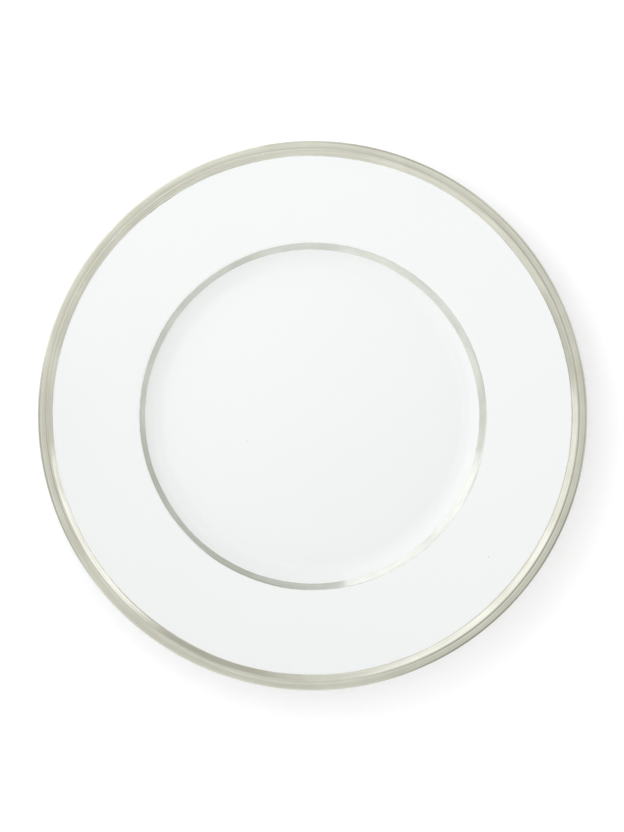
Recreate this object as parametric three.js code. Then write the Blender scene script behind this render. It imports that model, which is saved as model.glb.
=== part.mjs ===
// Salad plate: a turned porcelain body under a clear glaze, with a platinum band fired on its
// moulded edge and another on its verge, the shoulder between the well and the rim.
// Millimetres, +Z up, origin at the centre of the foot ring's resting face.

import * as THREE from "three";

// Driving dimensions of the glazed plate. Angles are in degrees above the horizontal.
const plateDiameter = 216;

const wellFloorRadius = 58;
const wellThickness = 4.2;
const wellCoveRadius = 12.2;
const wellWallAngle = 42;
const wellWallLength = 1.6;

// The verge leans out of the wall under its band, then rounds over onto the rim.
const vergeBandRadius = 5.5;
const vergeBandAngle = 26;
const vergeRadius = 2.4;
const vergeThickness = 4.2;
const rimInnerAngle = 8;
const rimOuterAngle = 11;

// The moulded edge: a flare rises from the rim to a crease, a fine thread steps up there and falls
// off to a groove, and a flat bead that falls off to a rounded lip finishes the plate.
const flareWidth = 1.95;
const flareAngle = 24;
const flareBendRadius = 0.5;
const creaseRadius = 0.25;
const threadInnerAngle = 60;
const threadRadius = 0.3;
const threadTopAngle = 6;
const threadFallRadius = 6;
const threadFallAngle = 12;
const grooveRadius = 0.3;
const beadInnerAngle = 10;
const beadShoulderRadius = 2;
const crownInnerAngle = 3;
const crownRadius = 12;
const crownOuterAngle = 4;
const beadFallRadius = 4;
const beadFallAngle = 16;
const lipRadius = 0.4;
const lipDrop = 1.3; // straight down between the lip's upper and lower rounds

const shoulderRadius = 6;
const footOutset = 7.2; // from the edge of the well's floor to the outside of the foot ring
const footWidth = 4;
const footHeight = 3;
const footFilletRadius = 1.2;
const footEdgeRadius = 0.6;
const baseRecess = 2.6;
const baseFilletRadius = 1;

const glazeThickness = 0.25;
const glazeLine = 0.8; // the foot ring is wiped bare of glaze below this height
const bandThickness = 0.12;
const rimBandTuck = 45; // degrees that the rim band turns under the lip, past its widest point

// Facets: how many go round the plate, and how far one may lie from a rounded section.
const facetsAround = 52;
const chordTolerance = 0.1;

const finishes = {
  porcelain: { color: 0xf1efe8, roughness: 0.8, metalness: 0 },
  glaze: { color: 0xf4f6f5, roughness: 0.08, metalness: 0 },
  platinum: { color: 0xc9c6b8, roughness: 0.18, metalness: 1 },
};

const { degToRad, radToDeg } = THREE.MathUtils;
const sine = (degrees) => Math.sin(degToRad(degrees));
const cosine = (degrees) => Math.cos(degToRad(degrees));
const headingOf = (vector) => radToDeg(Math.atan2(vector.y, vector.x));

// Headings of a section that runs clockwise: out over the face, under the rim and in to the base.
const outward = 0;
const downward = -90;
const inward = -180;
const upward = -270;

// Draws half of a cross-section, in radius and height, as lines and arcs that run on smoothly.
// The material lies to the right of the pen's way, so the surface faces left.
class SectionPen {
  constructor(radius, height, heading) {
    this.place = new THREE.Vector2(radius, height);
    this.heading = heading;
    this.stations = [];
    this.drop();
  }

  get direction() {
    return new THREE.Vector2(cosine(this.heading), sine(this.heading));
  }

  get normal() {
    return new THREE.Vector2(-sine(this.heading), cosine(this.heading));
  }

  // The number of the last station drawn, where a band may start or end.
  get station() {
    return this.stations.length - 1;
  }

  drop() {
    this.stations.push({ place: this.place.clone(), normal: this.normal });
    return this;
  }

  line(length) {
    this.place.addScaledVector(this.direction, length);
    return length > 0 ? this.drop() : this;
  }

  lineToRadius(radius) {
    return this.line((radius - this.place.x) / this.direction.x);
  }

  lineToHeight(height) {
    return this.line((height - this.place.y) / this.direction.y);
  }

  // Turns to a new heading round a circle of the given radius.
  arc(radius, heading) {
    const turn = heading - this.heading;
    const side = Math.sign(turn);
    const centre = this.place.clone().addScaledVector(this.normal, side * radius);
    const facetTurn = 2 * Math.acos(1 - Math.min(chordTolerance / radius, 1));
    const steps = Math.ceil(degToRad(Math.abs(turn)) / facetTurn);
    for (let step = 0; step < steps; step++) {
      this.heading += turn / steps;
      this.place.copy(centre).addScaledVector(this.normal, -side * radius);
      this.drop();
    }
    return this;
  }

  // Turns to a new heading on whichever circle ends at that distance from the axis.
  arcToRadius(radius, heading) {
    return this.arc((radius - this.place.x) / (sine(heading) - sine(this.heading)), heading);
  }

  // Runs straight towards a corner and rounds it onto the line that leaves there.
  roundCorner(corner, radius, heading) {
    const halfTurn = degToRad(Math.abs(heading - this.heading)) / 2;
    const toCorner = this.place.distanceTo(corner);
    const setback = Math.min(radius * Math.tan(halfTurn), toCorner);
    return this.line(toCorner - setback).arc(setback / Math.tan(halfTurn), heading);
  }
}

// Face: the well's floor, its cove and wall, then the verge that turns out into the rim.
const face = new SectionPen(0, baseRecess + wellThickness, outward);
face.lineToRadius(wellFloorRadius).arc(wellCoveRadius, wellWallAngle);
const vergeBandStart = face.station;
face.line(wellWallLength);
const wallTop = face.place.clone();
face.arc(vergeBandRadius, vergeBandAngle);
const vergeBandEnd = face.station;
face.arc(vergeRadius, rimInnerAngle);
const verge = wallTop.lerp(face.place, 1 / 2);

// Each round of the edge past the flare, and the heading that it ends on.
const edgeRounds = [
  { radius: creaseRadius, heading: threadInnerAngle },
  { radius: threadRadius, heading: -threadTopAngle },
  { radius: threadFallRadius, heading: -threadFallAngle },
  { radius: grooveRadius, heading: beadInnerAngle },
  { radius: beadShoulderRadius, heading: crownInnerAngle },
  { radius: crownRadius, heading: -crownOuterAngle },
  { radius: beadFallRadius, heading: -beadFallAngle },
  { radius: lipRadius, heading: downward },
];

// Rim and edge, laid out from the plate's outer radius inwards: the rounds, the flare, then the rim.
let flareEndRadius = plateDiameter / 2;
let headingBefore = flareAngle;
for (const { radius, heading } of edgeRounds) {
  flareEndRadius -= radius * Math.abs(sine(heading) - sine(headingBefore));
  headingBefore = heading;
}
face.arcToRadius(flareEndRadius - flareWidth, rimOuterAngle);
const rimBandStart = face.station;
face.arc(flareBendRadius, flareAngle).lineToRadius(flareEndRadius);
edgeRounds.forEach(({ radius, heading }) => face.arc(radius, heading));
face.line(lipDrop);
const lipCentre = face.place.clone().addScaledVector(face.normal, -lipRadius);
face.arc(lipRadius, downward - rimBandTuck);
const rimBandEnd = face.station;

// Underside: straight from the lip to the shoulder below the verge, then down to the foot ring.
const vergeAngle = (wellWallAngle + rimInnerAngle) / 2;
const belowVerge = new THREE.Vector2(sine(vergeAngle), -cosine(vergeAngle));
const shoulder = verge.clone().addScaledVector(belowVerge, vergeThickness);
const footRadius = wellFloorRadius + footOutset;
const footTop = new THREE.Vector2(footRadius, footHeight);
const lipToShoulder = shoulder.clone().sub(lipCentre);
const tangentTurn = radToDeg(Math.asin(lipRadius / lipToShoulder.length()));
face.arc(lipRadius, headingOf(lipToShoulder) - tangentTurn);
face.roundCorner(shoulder, shoulderRadius, headingOf(footTop.clone().sub(shoulder)));
face.roundCorner(footTop, footFilletRadius, downward).lineToHeight(glazeLine);

// Foot ring: bare porcelain that rests at height zero.
const footInnerRadius = footRadius - footWidth;
const foot = new SectionPen(footRadius - glazeThickness, glazeLine, downward);
foot.lineToHeight(footEdgeRadius).arc(footEdgeRadius, inward);
foot.lineToRadius(footInnerRadius + glazeThickness + footEdgeRadius);
foot.arc(footEdgeRadius, upward).lineToHeight(glazeLine);

// Base: the recess inside the foot ring.
const base = new SectionPen(footInnerRadius, glazeLine, upward);
const baseFillet = Math.min(baseFilletRadius, baseRecess - glazeLine);
base.lineToHeight(baseRecess - baseFillet).arc(baseFillet, inward).lineToRadius(0);

// The surface that lies a distance outside the drawn one, or inside it if negative.
const offset = (stations, distance) =>
  stations.map(({ place, normal }) => place.clone().addScaledVector(normal, distance));

// The outline of a coat on a drawn surface: along it at one depth and back at another.
const coat = (stations, out, back) => [...offset(stations, out), ...offset(stations, back).reverse()];

const bandOutline = (start, end) => {
  const outline = coat(face.stations.slice(start, end + 1), bandThickness, 0);
  return [...outline, outline[0].clone()];
};

// The foot's first and last stations are the ends of the glazed surfaces on either side of it.
const bodyOutline = [
  ...offset(face.stations, -glazeThickness),
  ...offset(foot.stations.slice(1, -1), 0),
  ...offset(base.stations, -glazeThickness),
];

function turned(name, outline, finish) {
  const geometry = new THREE.LatheGeometry(outline.toReversed(), facetsAround);
  geometry.rotateX(Math.PI / 2);
  const mesh = new THREE.Mesh(geometry, new THREE.MeshStandardMaterial(finish));
  mesh.name = name;
  return mesh;
}

const saladPlate = new THREE.Group();
saladPlate.add(
  turned("porcelain_body", bodyOutline, finishes.porcelain),
  turned("face_glaze", coat(face.stations, 0, -glazeThickness), finishes.glaze),
  turned("base_glaze", coat(base.stations.toReversed(), -glazeThickness, 0), finishes.glaze),
  turned("rim_band", bandOutline(rimBandStart, rimBandEnd), finishes.platinum),
  turned("verge_band", bandOutline(vergeBandStart, vergeBandEnd), finishes.platinum),
);

export default saladPlate;
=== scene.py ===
import math
import bmesh
import bpy
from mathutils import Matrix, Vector, noise


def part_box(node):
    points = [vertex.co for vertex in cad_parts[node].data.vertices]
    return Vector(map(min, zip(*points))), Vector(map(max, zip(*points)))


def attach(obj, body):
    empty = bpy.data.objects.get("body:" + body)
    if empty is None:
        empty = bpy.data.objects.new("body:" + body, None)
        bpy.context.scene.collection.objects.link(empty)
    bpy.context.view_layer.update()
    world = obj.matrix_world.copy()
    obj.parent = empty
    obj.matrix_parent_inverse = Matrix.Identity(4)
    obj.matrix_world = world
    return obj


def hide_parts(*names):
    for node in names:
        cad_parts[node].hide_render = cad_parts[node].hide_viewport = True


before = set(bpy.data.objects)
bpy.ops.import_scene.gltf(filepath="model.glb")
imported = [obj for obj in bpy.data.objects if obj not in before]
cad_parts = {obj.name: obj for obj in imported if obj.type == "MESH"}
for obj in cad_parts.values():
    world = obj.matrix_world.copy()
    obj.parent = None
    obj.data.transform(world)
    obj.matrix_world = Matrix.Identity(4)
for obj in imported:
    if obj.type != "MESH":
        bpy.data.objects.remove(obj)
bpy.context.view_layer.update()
mm = 0.001
print("frame loaded with", ", ".join(sorted(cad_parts)))

# Section of the glazed plate in mm and degrees, turned about Z. Angles are above the horizontal.
form = {
    "radius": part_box("face_glaze")[1].x / mm,
    "glazeLine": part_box("face_glaze")[0].z / mm,  # bare of glaze below this height
    "glazeThickness": (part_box("face_glaze")[1].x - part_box("porcelain_body")[1].x) / mm,
    "floorRadius": 58, "floorHeight": 6.8, "coveRadius": 12.2, "wallAngle": 42, "wallLength": 1.6,
    "vergeBandRadius": 5.5, "vergeBandAngle": 26, "vergeRadius": 2.4, "vergeThickness": 4.2,
    "rimInnerAngle": 8, "rimOuterAngle": 11, "flareWidth": 1.95, "flareAngle": 24, "flareBend": 0.5,
    "bandAngle": 10.9,  # the rim's angle 1.1 mm inside the flare, where the rim band's margin starts
    "lipRadius": 0.4, "lipDrop": 1.3, "bandTuck": 45,
    "shoulderRadius": 6, "footOutset": 7.2, "footWidth": 4, "footHeight": 3,
    "footFillet": 1.2, "footEdge": 0.6, "baseRecess": 2.6, "baseFillet": 1,
}
form["footRadius"] = form["floorRadius"] + form["footOutset"]
form["footInnerRadius"] = form["footRadius"] - form["footWidth"]
outward, downward, inward, upward = 0, -90, -180, -270
horizon = 90

# Degrees that one facet of an arc turns, then how a section is turned, merged and shaded.
facets = {
    "arc": 4, "well": 2, "rim": 0.25, "bandMargin": 0.02, "lip": 8, "foot": 9,
    "wideRound": 1.5, "tightRound": 9,
    "wideRadius": 1,  # mm, above which a round of the edge is wide
    "sectors": 12,  # a slice is turned first, then copied round, which is quicker
    "weld": 0.001, "creaseAngle": 35,
}


def sine(degrees):
    return math.sin(math.radians(degrees))


def cosine(degrees):
    return math.cos(math.radians(degrees))


# Azimuth is clockwise from the picture's right, zenith is from straight up, in degrees.
def directionOf(azimuth, zenith):
    return Vector((sine(zenith) * cosine(azimuth), -sine(zenith) * sine(azimuth), cosine(zenith)))


# The pen draws half a section in the XZ plane, with the material to the right of its way.
# An inset pen draws the same section that much deeper in the material.
def startPen(radius, height, heading, inset=0):
    mesh = bmesh.new()
    place = Vector((radius + sine(heading) * inset, 0, height - cosine(heading) * inset)) * mm
    return {"mesh": mesh, "tip": mesh.verts.new(place), "heading": heading, "inset": inset}


def penPlace(pen):
    inset, heading = pen["inset"], pen["heading"]
    tip = pen["tip"].co / mm
    return Vector((tip.x - sine(heading) * inset, tip.z + cosine(heading) * inset))


def drawLine(pen, length, parts=1):
    step = Vector((cosine(pen["heading"]), 0, sine(pen["heading"]))) * (length * mm / parts)
    for part in range(parts):
        pen["tip"] = bmesh.ops.extrude_vert_indiv(pen["mesh"], verts=[pen["tip"]])["verts"][0]
        bmesh.ops.translate(pen["mesh"], verts=[pen["tip"]], vec=step)


def drawLineToRadius(pen, radius, parts=1):
    drawLine(pen, (radius - penPlace(pen).x) / cosine(pen["heading"]), parts)


def drawLineToHeight(pen, height, parts=1):
    drawLine(pen, (height - penPlace(pen).y) / sine(pen["heading"]), parts)


def drawArc(pen, radius, heading, step=facets["arc"]):
    turn = heading - pen["heading"]
    side = math.copysign(1, turn)
    reach = (side * radius + pen["inset"]) * mm  # from the tip to the centre, along the normal
    centre = pen["tip"].co + Vector((-sine(pen["heading"]), 0, cosine(pen["heading"]))) * reach
    arc = bmesh.ops.spin(
        pen["mesh"], geom=[pen["tip"]], cent=centre, axis=(0, -1, 0), angle=math.radians(turn),
        steps=math.ceil(abs(turn) / step),
    )
    pen["tip"] = next(part for part in arc["geom_last"] if isinstance(part, bmesh.types.BMVert))
    pen["heading"] = heading


# Straight towards a corner, then rounded onto the line that leaves it.
def drawCorner(pen, corner, radius, heading, parts=1):
    setback = radius * math.tan(math.radians(abs(heading - pen["heading"])) / 2)
    drawLine(pen, (corner - penPlace(pen)).length - setback, parts)
    drawArc(pen, radius, heading)


def headingOf(way):
    return math.degrees(math.atan2(way.y, way.x))


def drawWell(pen):
    drawLineToRadius(pen, form["floorRadius"], parts=8)
    drawArc(pen, form["coveRadius"], form["wallAngle"], facets["well"])


def drawBandedWall(pen):
    drawLine(pen, form["wallLength"], parts=4)
    pen["wallTop"] = penPlace(pen)
    drawArc(pen, form["vergeBandRadius"], form["vergeBandAngle"], facets["well"])


def drawVerge(pen):
    drawArc(pen, form["vergeRadius"], form["rimInnerAngle"])
    pen["verge"] = (pen["wallTop"] + penPlace(pen)) / 2


# Past the flare come a crease, a thread that falls off to a groove, and a flat bead that falls off
# to the lip. Each round has its radius in mm and the heading that it ends on.
edgeRounds = [
    (0.25, 60),
    (0.3, -6),
    (6, -12),
    (0.3, 10),
    (2, 3),
    (12, -4),
    (4, -16),
    (form["lipRadius"], downward),
]
edgeHeadings = [form["flareAngle"]] + [heading for radius, heading in edgeRounds]
edgeRun = sum(
    radius * abs(sine(after) - sine(before))
    for (radius, after), before in zip(edgeRounds, edgeHeadings)
)
flareEnd = form["radius"] - edgeRun


def drawRim(pen, heading, step=facets["rim"]):
    rise = sine(form["rimOuterAngle"]) - sine(pen["heading"])
    run = flareEnd - form["flareWidth"] - penPlace(pen).x
    drawArc(pen, run / rise, heading, step)


def drawEdge(pen):
    drawArc(pen, form["flareBend"], form["flareAngle"])
    drawLineToRadius(pen, flareEnd, parts=10)
    for radius, heading in edgeRounds:
        wide = radius > facets["wideRadius"]
        drawArc(pen, radius, heading, facets["wideRound" if wide else "tightRound"])
    drawLine(pen, form["lipDrop"], parts=2)
    drawArc(pen, form["lipRadius"], downward - form["bandTuck"], facets["lip"])


def drawUnderside(pen):
    vergeAngle = (form["wallAngle"] + form["rimInnerAngle"]) / 2
    below = Vector((sine(vergeAngle), -cosine(vergeAngle)))
    shoulder = pen["verge"] + below * form["vergeThickness"]
    footTop = Vector((form["footRadius"], form["footHeight"]))
    normal = Vector((-sine(pen["heading"]), cosine(pen["heading"])))
    way = shoulder - (penPlace(pen) - normal * form["lipRadius"])
    tangentTurn = math.degrees(math.asin(form["lipRadius"] / way.length))
    drawArc(pen, form["lipRadius"], headingOf(way) - tangentTurn, facets["lip"])
    drawCorner(pen, shoulder, form["shoulderRadius"], headingOf(footTop - shoulder), parts=6)
    drawCorner(pen, footTop, form["footFillet"], downward, parts=3)
    drawLineToHeight(pen, form["glazeLine"])


def drawFoot(pen):
    innerEdge = form["footInnerRadius"] + form["glazeThickness"] + form["footEdge"]
    drawLineToHeight(pen, form["footEdge"])
    drawArc(pen, form["footEdge"], inward, facets["foot"])
    drawLineToRadius(pen, innerEdge, parts=4)
    drawArc(pen, form["footEdge"], upward, facets["foot"])
    drawLineToHeight(pen, form["glazeLine"])


def drawBase(pen):
    drawLineToHeight(pen, form["baseRecess"] - form["baseFillet"])
    drawArc(pen, form["baseFillet"], inward)
    drawLineToRadius(pen, 0, parts=8)


# The places drawn, from the start of the section to its end.
def sectionOf(pen):
    return [vert.co.copy() for vert in pen["mesh"].verts]


# Turns a drawn section into a surface of revolution that faces outwards.
def turnSection(pen, turns, upIsOut):
    mesh = pen["mesh"]
    sectors = facets["sectors"]
    sector = math.tau / sectors
    axis = (0, 0, 1)
    drawn = mesh.verts[:] + mesh.edges[:]
    bmesh.ops.spin(mesh, geom=drawn, axis=axis, angle=sector, steps=turns // sectors)
    wedge = mesh.verts[:] + mesh.edges[:] + mesh.faces[:]
    bmesh.ops.spin(
        mesh, geom=wedge, axis=axis, angle=math.tau - sector, steps=sectors - 1, use_duplicate=True,
    )
    bmesh.ops.remove_doubles(mesh, verts=mesh.verts[:], dist=facets["weld"] * mm)
    bmesh.ops.recalc_face_normals(mesh, faces=mesh.faces[:])
    topFace = max(mesh.faces, key=lambda face: face.calc_center_median().z)
    if (topFace.normal.z > 0) != upIsOut:
        bmesh.ops.reverse_faces(mesh, faces=mesh.faces[:])
    return mesh


# Slides an open edge to and fro along its drawn section, as a brush or a sponge leaves it.
# The section is listed from that edge on, and what lies within the edge's reach is stretched.
def wanderEdge(mesh, section, edge):
    reach = edge["reach"] * mm
    lengths = [0]
    while lengths[-1] < reach:
        last = len(lengths) - 1
        lengths.append(lengths[last] + (section[last + 1] - section[last]).length)
    stations = range(len(lengths))
    for vert in mesh.verts:
        spot = Vector((vert.co.xy.length, 0, vert.co.z))
        if (spot - section[0]).length > reach:
            continue
        around = vert.co.xy.normalized()
        slow = noise.noise(Vector((*(around * edge["slow"]), edge["slowSeed"])))
        fast = noise.noise(Vector((*(around * edge["fast"]), edge["fastSeed"])))
        lean = around.dot(directionOf(edge["leanAzimuth"], horizon).xy) * edge["lean"]
        shift = (edge["inset"] + slow * edge["slowShift"] + fast * edge["fastShift"] + lean) * mm
        nearest = min(stations, key=lambda station: (section[station] - spot).length)
        along = lengths[nearest] + shift * max(1 - lengths[nearest] / reach, 0)
        after = next(station for station in stations[1:] if lengths[station] >= along)
        part = (along - lengths[after - 1]) / (lengths[after] - lengths[after - 1])
        spot = section[after - 1].lerp(section[after], part)
        vert.co = (around.x * spot.x, around.y * spot.x, spot.z)


def addObject(name, data):
    added = bpy.data.objects.new(name, data)
    bpy.context.scene.collection.objects.link(added)
    return added


def placeMesh(name, mesh, material):
    data = bpy.data.meshes.new(name)
    mesh.to_mesh(data)
    mesh.free()
    data.materials.append(material)
    return addObject(name, data)


def finishPiece(name, mesh, material, node):
    for face in mesh.faces:
        face.smooth = True
    for edge in mesh.edges:
        edge.smooth = edge.calc_face_angle(0) < math.radians(facets["creaseAngle"])
    piece = placeMesh(name, mesh, material)
    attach(piece, "root")
    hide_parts(node)
    print(name, "has", len(piece.data.polygons), "faces")


def addNode(tree, kind, **values):
    node = tree.nodes.new(kind)
    for name, value in values.items():
        if hasattr(node, name):
            setattr(node, name, value)
        else:
            node.inputs[name].default_value = value
    return node


# Links a socket where the value is another node's output, and sets it otherwise.
def feed(tree, socket, value):
    if isinstance(value, bpy.types.NodeSocket):
        tree.links.new(value, socket)
    else:
        socket.default_value = value


def numberMath(tree, operation, *values):
    node = addNode(tree, "ShaderNodeMath", operation=operation)
    for socket, value in zip(node.inputs, values):
        feed(tree, socket, value)
    return node.outputs["Value"]


# The result is named Vector or Value, as the operation gives one or the other.
def vectorMath(tree, operation, result, *values):
    node = addNode(tree, "ShaderNodeVectorMath", operation=operation)
    for socket, value in zip(node.inputs, values):
        feed(tree, socket, value)
    return node.outputs[result]


def mapValue(tree, value, fromMin, fromMax, toMin, toMax):
    bounds = {"From Min": fromMin, "From Max": fromMax, "To Min": toMin, "To Max": toMax}
    ranged = addNode(tree, "ShaderNodeMapRange", **bounds)
    tree.links.new(value, ranged.inputs["Value"])
    return ranged.outputs["Result"]


# A Mix node has its colours on sockets 6 and 7, and mixes them to output 2.
def blendColours(tree, factor, first, second):
    blend = addNode(tree, "ShaderNodeMix", data_type="RGBA")
    tree.links.new(factor, blend.inputs[0])
    feed(tree, blend.inputs[6], first)
    feed(tree, blend.inputs[7], second)
    return blend.outputs[2]


def addNoise(tree, place, scale, detail):
    texture = addNode(tree, "ShaderNodeTexNoise", Scale=scale, Detail=detail)
    tree.links.new(place, texture.inputs["Vector"])
    return texture.outputs[0]


def addBump(tree, shader, height, depth):
    bump = addNode(tree, "ShaderNodeBump", Distance=depth)
    tree.links.new(height, bump.inputs["Height"])
    tree.links.new(bump.outputs["Normal"], shader.inputs["Normal"])


def startMaterial(name):
    material = bpy.data.materials.new(name)
    material.use_nodes = True
    tree = material.node_tree
    return material, tree, tree.nodes["Principled BSDF"]


# Clear gloss glaze on white porcelain, with a faint ripple and two dark specks under it.
glazeLook = {
    "white": (0.825, 0.842, 0.829, 1), "pooled": (0.809, 0.830, 0.817, 1), "poolScale": 28,
    "roughness": 0.06, "ior": 1.52,
    "rippleScale": 90, "rippleDepth": 0.012 * mm,
    "specks": [(-26.2, -10.0), (69.4, -55.7)],  # places in mm
    "speckRadius": 0.3, "speckColour": (0.36, 0.36, 0.33, 1),
}


def glossGlaze():
    look = glazeLook
    material, tree, shader = startMaterial("glossGlaze")
    shader.inputs["Roughness"].default_value = look["roughness"]
    shader.inputs["IOR"].default_value = look["ior"]
    place = addNode(tree, "ShaderNodeTexCoord").outputs["Object"]
    pooling = addNoise(tree, place, look["poolScale"], detail=3)
    colour = blendColours(tree, pooling, look["white"], look["pooled"])
    plan = vectorMath(tree, "MULTIPLY", "Vector", place, (1, 1, 0))
    for x, y in look["specks"]:
        away = vectorMath(tree, "DISTANCE", "Value", plan, (x * mm, y * mm, 0))
        inside = mapValue(tree, away, look["speckRadius"] * mm, 0, 0, 1)
        colour = blendColours(tree, inside, colour, look["speckColour"])
    tree.links.new(colour, shader.inputs["Base Color"])
    ripple = addNoise(tree, place, look["rippleScale"], detail=1)
    addBump(tree, shader, ripple, look["rippleDepth"])
    return material


# Fired porcelain without glaze: dry and faintly sandy.
bareLook = {
    "clean": (0.80, 0.785, 0.74, 1), "worn": (0.66, 0.645, 0.60, 1),
    "wearScale": 160, "wearRange": (0.48, 0.72),
    "roughness": (0.62, 0.85), "roughRange": (0.3, 0.7),
    "grainScale": 2600, "grainDepth": 0.015 * mm,
}


def barePorcelain():
    look = bareLook
    material, tree, shader = startMaterial("barePorcelain")
    place = addNode(tree, "ShaderNodeTexCoord").outputs["Object"]
    wear = addNoise(tree, place, look["wearScale"], detail=6)
    worn = mapValue(tree, wear, *look["wearRange"], 0, 1)
    colour = blendColours(tree, worn, look["clean"], look["worn"])
    tree.links.new(colour, shader.inputs["Base Color"])
    roughness = mapValue(tree, wear, *look["roughRange"], *look["roughness"])
    tree.links.new(roughness, shader.inputs["Roughness"])
    grain = addNoise(tree, place, look["grainScale"], detail=2)
    addBump(tree, shader, grain, look["grainDepth"])
    return material


# Fired platinum, with the brush's streaks running round the plate.
platinumLook = {
    "roughness": (0.06, 0.16), "dullRange": (0.75, 1.25), "patchScale": 70,
    "streakScale": 2400, "streaksAround": 5, "streakDepth": 0.004 * mm,
}


def firedPlatinum(name, bright, dull):
    look = platinumLook
    material, tree, shader = startMaterial(name)
    shader.inputs["Metallic"].default_value = 1
    place = addNode(tree, "ShaderNodeTexCoord").outputs["Object"]
    plan = vectorMath(tree, "MULTIPLY", "Vector", place, (1, 1, 0))
    around = vectorMath(tree, "NORMALIZE", "Vector", plan)
    stretched = vectorMath(tree, "MULTIPLY", "Vector", around, (look["streaksAround"],) * 3)
    radius = vectorMath(tree, "LENGTH", "Value", plan)
    height = addNode(tree, "ShaderNodeSeparateXYZ")
    tree.links.new(place, height.inputs["Vector"])
    # radius less height tells one brush line from the next
    track = numberMath(tree, "SUBTRACT", radius, height.outputs["Z"])
    finer = numberMath(tree, "MULTIPLY", track, look["streakScale"])
    streak = addNode(tree, "ShaderNodeTexNoise", noise_dimensions="4D", Scale=1, Detail=3)
    tree.links.new(stretched, streak.inputs["Vector"])
    tree.links.new(finer, streak.inputs["W"])
    patch = addNoise(tree, place, look["patchScale"], detail=4)
    both = numberMath(tree, "ADD", streak.outputs[0], patch)
    dullness = mapValue(tree, both, *look["dullRange"], 0, 1)
    colour = blendColours(tree, dullness, bright, dull)
    tree.links.new(colour, shader.inputs["Base Color"])
    roughness = mapValue(tree, dullness, 0, 1, *look["roughness"])
    tree.links.new(roughness, shader.inputs["Roughness"])
    addBump(tree, shader, streak.outputs[0], look["streakDepth"])
    return material


glaze = glossGlaze()
bare = barePorcelain()
print("finishes made")

# Glaze over the face, the edge and the underside, down to the wiped line on the foot ring.
faceCoat = {
    "turns": 240,
    "wipedEdge": {
        "slow": 3, "slowShift": 0.12, "slowSeed": 2, "fast": 18, "fastShift": 0.05, "fastSeed": 9,
        "reach": 0.8, "inset": 0, "lean": 0, "leanAzimuth": 0,
    },
}
pen = startPen(0, form["floorHeight"], outward)
drawWell(pen)
vergeStart = (*penPlace(pen), pen["heading"])
drawBandedWall(pen)
drawVerge(pen)
drawRim(pen, form["bandAngle"])
edgeStart = (*penPlace(pen), pen["heading"])
drawRim(pen, form["rimOuterAngle"])
drawEdge(pen)
drawUnderside(pen)
section = sectionOf(pen)
mesh = turnSection(pen, faceCoat["turns"], upIsOut=True)
wanderEdge(mesh, section[::-1], faceCoat["wipedEdge"])
bmesh.ops.solidify(mesh, geom=mesh.faces[:], thickness=form["glazeThickness"] * mm)
finishPiece("faceGlaze", mesh, glaze, "face_glaze")

# Porcelain under the glaze, which shows only at the foot ring.
body = {"turns": 180}
pen = startPen(0, form["floorHeight"], outward, inset=form["glazeThickness"])
drawWell(pen)
drawBandedWall(pen)
drawVerge(pen)
drawRim(pen, form["rimOuterAngle"])
drawEdge(pen)
drawUnderside(pen)
pen["inset"] = 0
drawFoot(pen)
pen["inset"] = form["glazeThickness"]
drawBase(pen)
mesh = turnSection(pen, body["turns"], upIsOut=True)
finishPiece("porcelainBody", mesh, bare, "porcelain_body")

# Glaze in the recess inside the foot ring.
baseCoat = {
    "turns": 180,
    "wipedEdge": {
        "slow": 3, "slowShift": 0.1, "slowSeed": 5, "fast": 18, "fastShift": 0.05, "fastSeed": 12,
        "reach": 0.7, "inset": 0, "lean": 0, "leanAzimuth": 0,
    },
}
pen = startPen(form["footInnerRadius"], form["glazeLine"], upward)
drawBase(pen)
section = sectionOf(pen)
mesh = turnSection(pen, baseCoat["turns"], upIsOut=False)
wanderEdge(mesh, section, baseCoat["wipedEdge"])
bmesh.ops.solidify(mesh, geom=mesh.faces[:], thickness=form["glazeThickness"] * mm)
finishPiece("baseGlaze", mesh, glaze, "base_glaze")

# Platinum film over the moulded edge, laid on with a brush.
rimBand = {
    "turns": 600, "film": 0.05,
    "bright": (0.672, 0.672, 0.588, 1), "dull": (0.585, 0.578, 0.492, 1),
    "brushEdge": {
        "slow": 3, "slowShift": 0.3, "slowSeed": 11, "fast": 40, "fastShift": 0.12, "fastSeed": 18,
        "reach": 2.4, "inset": 1.06, "lean": 0.27, "leanAzimuth": 230,
    },
    "underEdge": {
        "slow": 3, "slowShift": 0.15, "slowSeed": 13, "fast": 40, "fastShift": 0.1, "fastSeed": 20,
        "reach": 0.6, "inset": 0, "lean": 0, "leanAzimuth": 0,
    },
}
pen = startPen(*edgeStart)
drawRim(pen, form["rimOuterAngle"], facets["bandMargin"])
drawEdge(pen)
section = sectionOf(pen)
mesh = turnSection(pen, rimBand["turns"], upIsOut=True)
wanderEdge(mesh, section, rimBand["brushEdge"])
wanderEdge(mesh, section[::-1], rimBand["underEdge"])
bmesh.ops.solidify(mesh, geom=mesh.faces[:], thickness=-rimBand["film"] * mm)
platinum = firedPlatinum("rimPlatinum", rimBand["bright"], rimBand["dull"])
finishPiece("rimBand", mesh, platinum, "rim_band")

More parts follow.
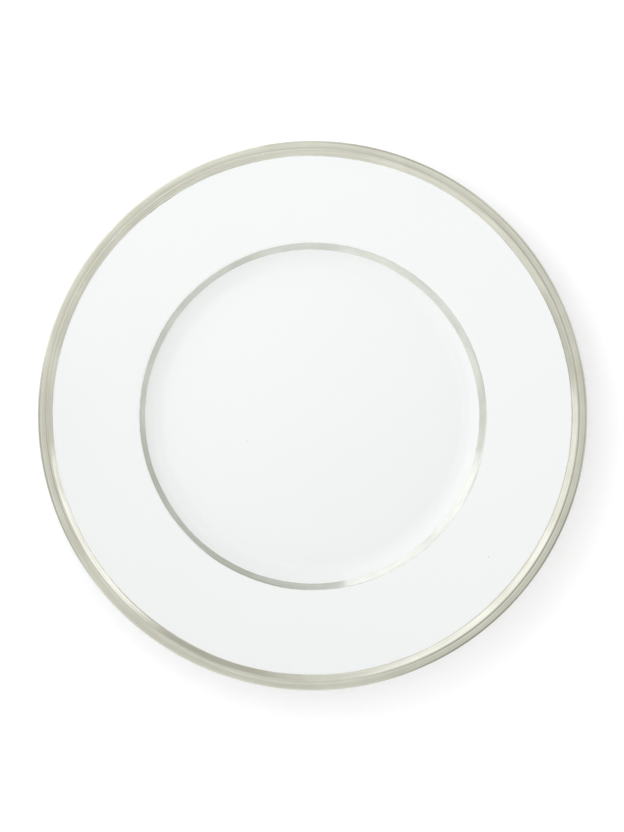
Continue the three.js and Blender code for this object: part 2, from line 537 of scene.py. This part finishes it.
# Platinum film on the verge, a little cooler.
vergeBand = {
    "turns": 720, "film": 0.05,
    "bright": (0.655, 0.672, 0.615, 1), "dull": (0.565, 0.578, 0.525, 1),
    "lowerEdge": {
        "slow": 3, "slowShift": 0.25, "slowSeed": 17, "fast": 30, "fastShift": 0.12, "fastSeed": 24,
        "reach": 1.5, "inset": 0, "lean": 0.45, "leanAzimuth": 112,
    },
    "upperEdge": {
        "slow": 3, "slowShift": 0.25, "slowSeed": 19, "fast": 30, "fastShift": 0.12, "fastSeed": 26,
        "reach": 1.8, "inset": 0.52, "lean": 0.38, "leanAzimuth": 232,
    },
    "overdraw": 12,  # degrees drawn past the upper edge, for it to slide back on
}
pen = startPen(*vergeStart)
drawBandedWall(pen)
drawArc(pen, form["vergeRadius"], form["vergeBandAngle"] - vergeBand["overdraw"])
section = sectionOf(pen)
mesh = turnSection(pen, vergeBand["turns"], upIsOut=True)
wanderEdge(mesh, section, vergeBand["lowerEdge"])
wanderEdge(mesh, section[::-1], vergeBand["upperEdge"])
bmesh.ops.solidify(mesh, geom=mesh.faces[:], thickness=-vergeBand["film"] * mm)
platinum = firedPlatinum("vergePlatinum", vergeBand["bright"], vergeBand["dull"])
finishPiece("vergeBand", mesh, platinum, "verge_band")

# Floor: white to the camera and to reflections, and it keeps the plate's shadow.
floor = {
    "half": 3, "colour": (0.9, 0.9, 0.9, 1), "roughness": 0.9, "glow": (1, 1, 1, 1), "lift": 0.2,
}
mesh = bmesh.new()
bmesh.ops.create_grid(mesh, x_segments=1, y_segments=1, size=floor["half"])
material, tree, shader = startMaterial("whiteSweep")
shader.inputs["Base Color"].default_value = floor["colour"]
shader.inputs["Roughness"].default_value = floor["roughness"]
shader.inputs["Emission Color"].default_value = floor["glow"]
path = addNode(tree, "ShaderNodeLightPath")
seen = numberMath(tree, "MAXIMUM", path.outputs["Is Camera Ray"], path.outputs["Is Glossy Ray"])
through = numberMath(tree, "MAXIMUM", seen, path.outputs["Is Transmission Ray"])
lift = numberMath(tree, "MULTIPLY", through, floor["lift"])
tree.links.new(lift, shader.inputs["Emission Strength"])
floorPiece = placeMesh("studioFloor", mesh, material)

# Lights, in metres. The fill is left out of the reflections.
softboxes = {
    "softboxLeft": {
        "azimuth": 226, "reach": 0.47, "height": 0.36, "aimHeight": 0.35, "size": (0.62, 0.66),
        "radiance": 0.36, "colour": (0.99, 1, 1.08), "mirrored": True,
    },
    "softboxRight": {
        "azimuth": 329.5, "reach": 1.0, "height": 1.05, "aimHeight": 0, "size": (0.78, 0.32),
        "radiance": 0.5, "colour": (1, 1, 1.1), "mirrored": True,
    },
    "fill": {
        "azimuth": 236, "reach": 0.14, "height": 0.24, "aimHeight": 0, "size": (0.15, 0.15),
        "radiance": 1.22, "colour": (1, 1, 1), "mirrored": False,
    },
}
wattsPerArea = 4  # of a lamp with a radiance of 1
for name, box in softboxes.items():
    lamp = bpy.data.lights.new(name, "AREA")
    lamp.shape = "RECTANGLE"
    lamp.size, lamp.size_y = box["size"]
    lamp.energy = box["radiance"] * wattsPerArea * lamp.size * lamp.size_y
    lamp.color = box["colour"]
    lampPiece = addObject(name, lamp)
    below = directionOf(box["azimuth"], horizon) * box["reach"]
    lampPiece.location = below + Vector((0, 0, box["height"]))
    facing = lampPiece.location - Vector((0, 0, box["aimHeight"]))
    lampPiece.rotation_euler = facing.to_track_quat("Z", "Y").to_euler()
    lampPiece.visible_camera = False
    lampPiece.visible_glossy = box["mirrored"]

# Surroundings: a pale tent with brighter and dimmer stretches, in degrees as the lights are.
tent = {
    "colour": (0.96, 0.96, 0.96, 1),
    "patches": [
        {"azimuth": 318, "zenith": 72, "inner": 28, "outer": 50, "colour": (0.77, 0.77, 0.75, 1)},
        {"azimuth": 294, "zenith": 48, "inner": 9, "outer": 14, "colour": (0.64, 0.64, 0.62, 1)},
        {"azimuth": 128, "zenith": 85, "inner": 25, "outer": 60, "colour": (1.16, 1.16, 1.16, 1)},
        {"azimuth": 230, "zenith": 14, "inner": 5, "outer": 22, "colour": (1.08, 1.08, 1.07, 1)},
        {"azimuth": 70, "zenith": 12, "inner": 4, "outer": 20, "colour": (0.85, 0.85, 0.84, 1)},
        {"azimuth": 204, "zenith": 70, "inner": 18, "outer": 31, "colour": (1.09, 1.09, 1.09, 1)},
        {"azimuth": 223, "zenith": 35, "inner": 6, "outer": 13, "colour": (1.06, 1.06, 1.09, 1)},
        {"azimuth": 184, "zenith": 45, "inner": 5, "outer": 11, "colour": (1.28, 1.28, 1.30, 1)},
        {"azimuth": 249, "zenith": 46, "inner": 6, "outer": 12, "colour": (1.00, 1.00, 1.03, 1)},
        {"azimuth": 163, "zenith": 46, "inner": 5, "outer": 9, "colour": (0.84, 0.84, 0.83, 1)},
        {"azimuth": 290, "zenith": 32, "inner": 7, "outer": 11, "colour": (0.72, 0.72, 0.71, 1)},
        {"azimuth": 26, "zenith": 30, "inner": 6, "outer": 11, "colour": (0.42, 0.42, 0.41, 1)},
        {"azimuth": 53, "zenith": 31, "inner": 7, "outer": 11, "colour": (0.40, 0.40, 0.39, 1)},
        {"azimuth": 358, "zenith": 23, "inner": 5, "outer": 10, "colour": (0.66, 0.66, 0.65, 1)},
        {"azimuth": 325, "zenith": 26, "inner": 5, "outer": 9, "colour": (0.62, 0.62, 0.61, 1)},
        {"azimuth": 168, "zenith": 31, "inner": 8, "outer": 12, "colour": (0.62, 0.62, 0.61, 1)},
    ],
}
world = bpy.data.worlds.new("studio")
bpy.context.scene.world = world
world.use_nodes = True
tree = world.node_tree
way = addNode(tree, "ShaderNodeTexCoord").outputs["Generated"]
sky = tent["colour"]
for patch in tent["patches"]:
    middle = directionOf(patch["azimuth"], patch["zenith"])
    along = vectorMath(tree, "DOT_PRODUCT", "Value", way, middle)
    inside = mapValue(tree, along, cosine(patch["outer"]), cosine(patch["inner"]), 0, 1)
    sky = blendColours(tree, inside, sky, patch["colour"])
tree.links.new(sky, tree.nodes["Background"].inputs["Color"])

# Camera straight above the plate; the photograph's frame is 624 by 832.
shot = {
    "lens": 135, "sensor": 36, "frameHeight": 832, "platePixels": 274.5,
    "aim": Vector((-0.24, -0.12, 17.2)) * mm,
}
camera = bpy.data.cameras.new("camera")
camera.lens = shot["lens"]
camera.sensor_width = shot["sensor"]
cameraPiece = addObject("camera", camera)
pixel = shot["sensor"] / shot["frameHeight"]
distance = form["radius"] * mm * shot["lens"] / (shot["platePixels"] * pixel)
cameraPiece.location = shot["aim"] + Vector((0, 0, distance))
bpy.context.scene.camera = cameraPiece
bpy.context.scene.view_settings.view_transform = "Standard"
print("studio set")
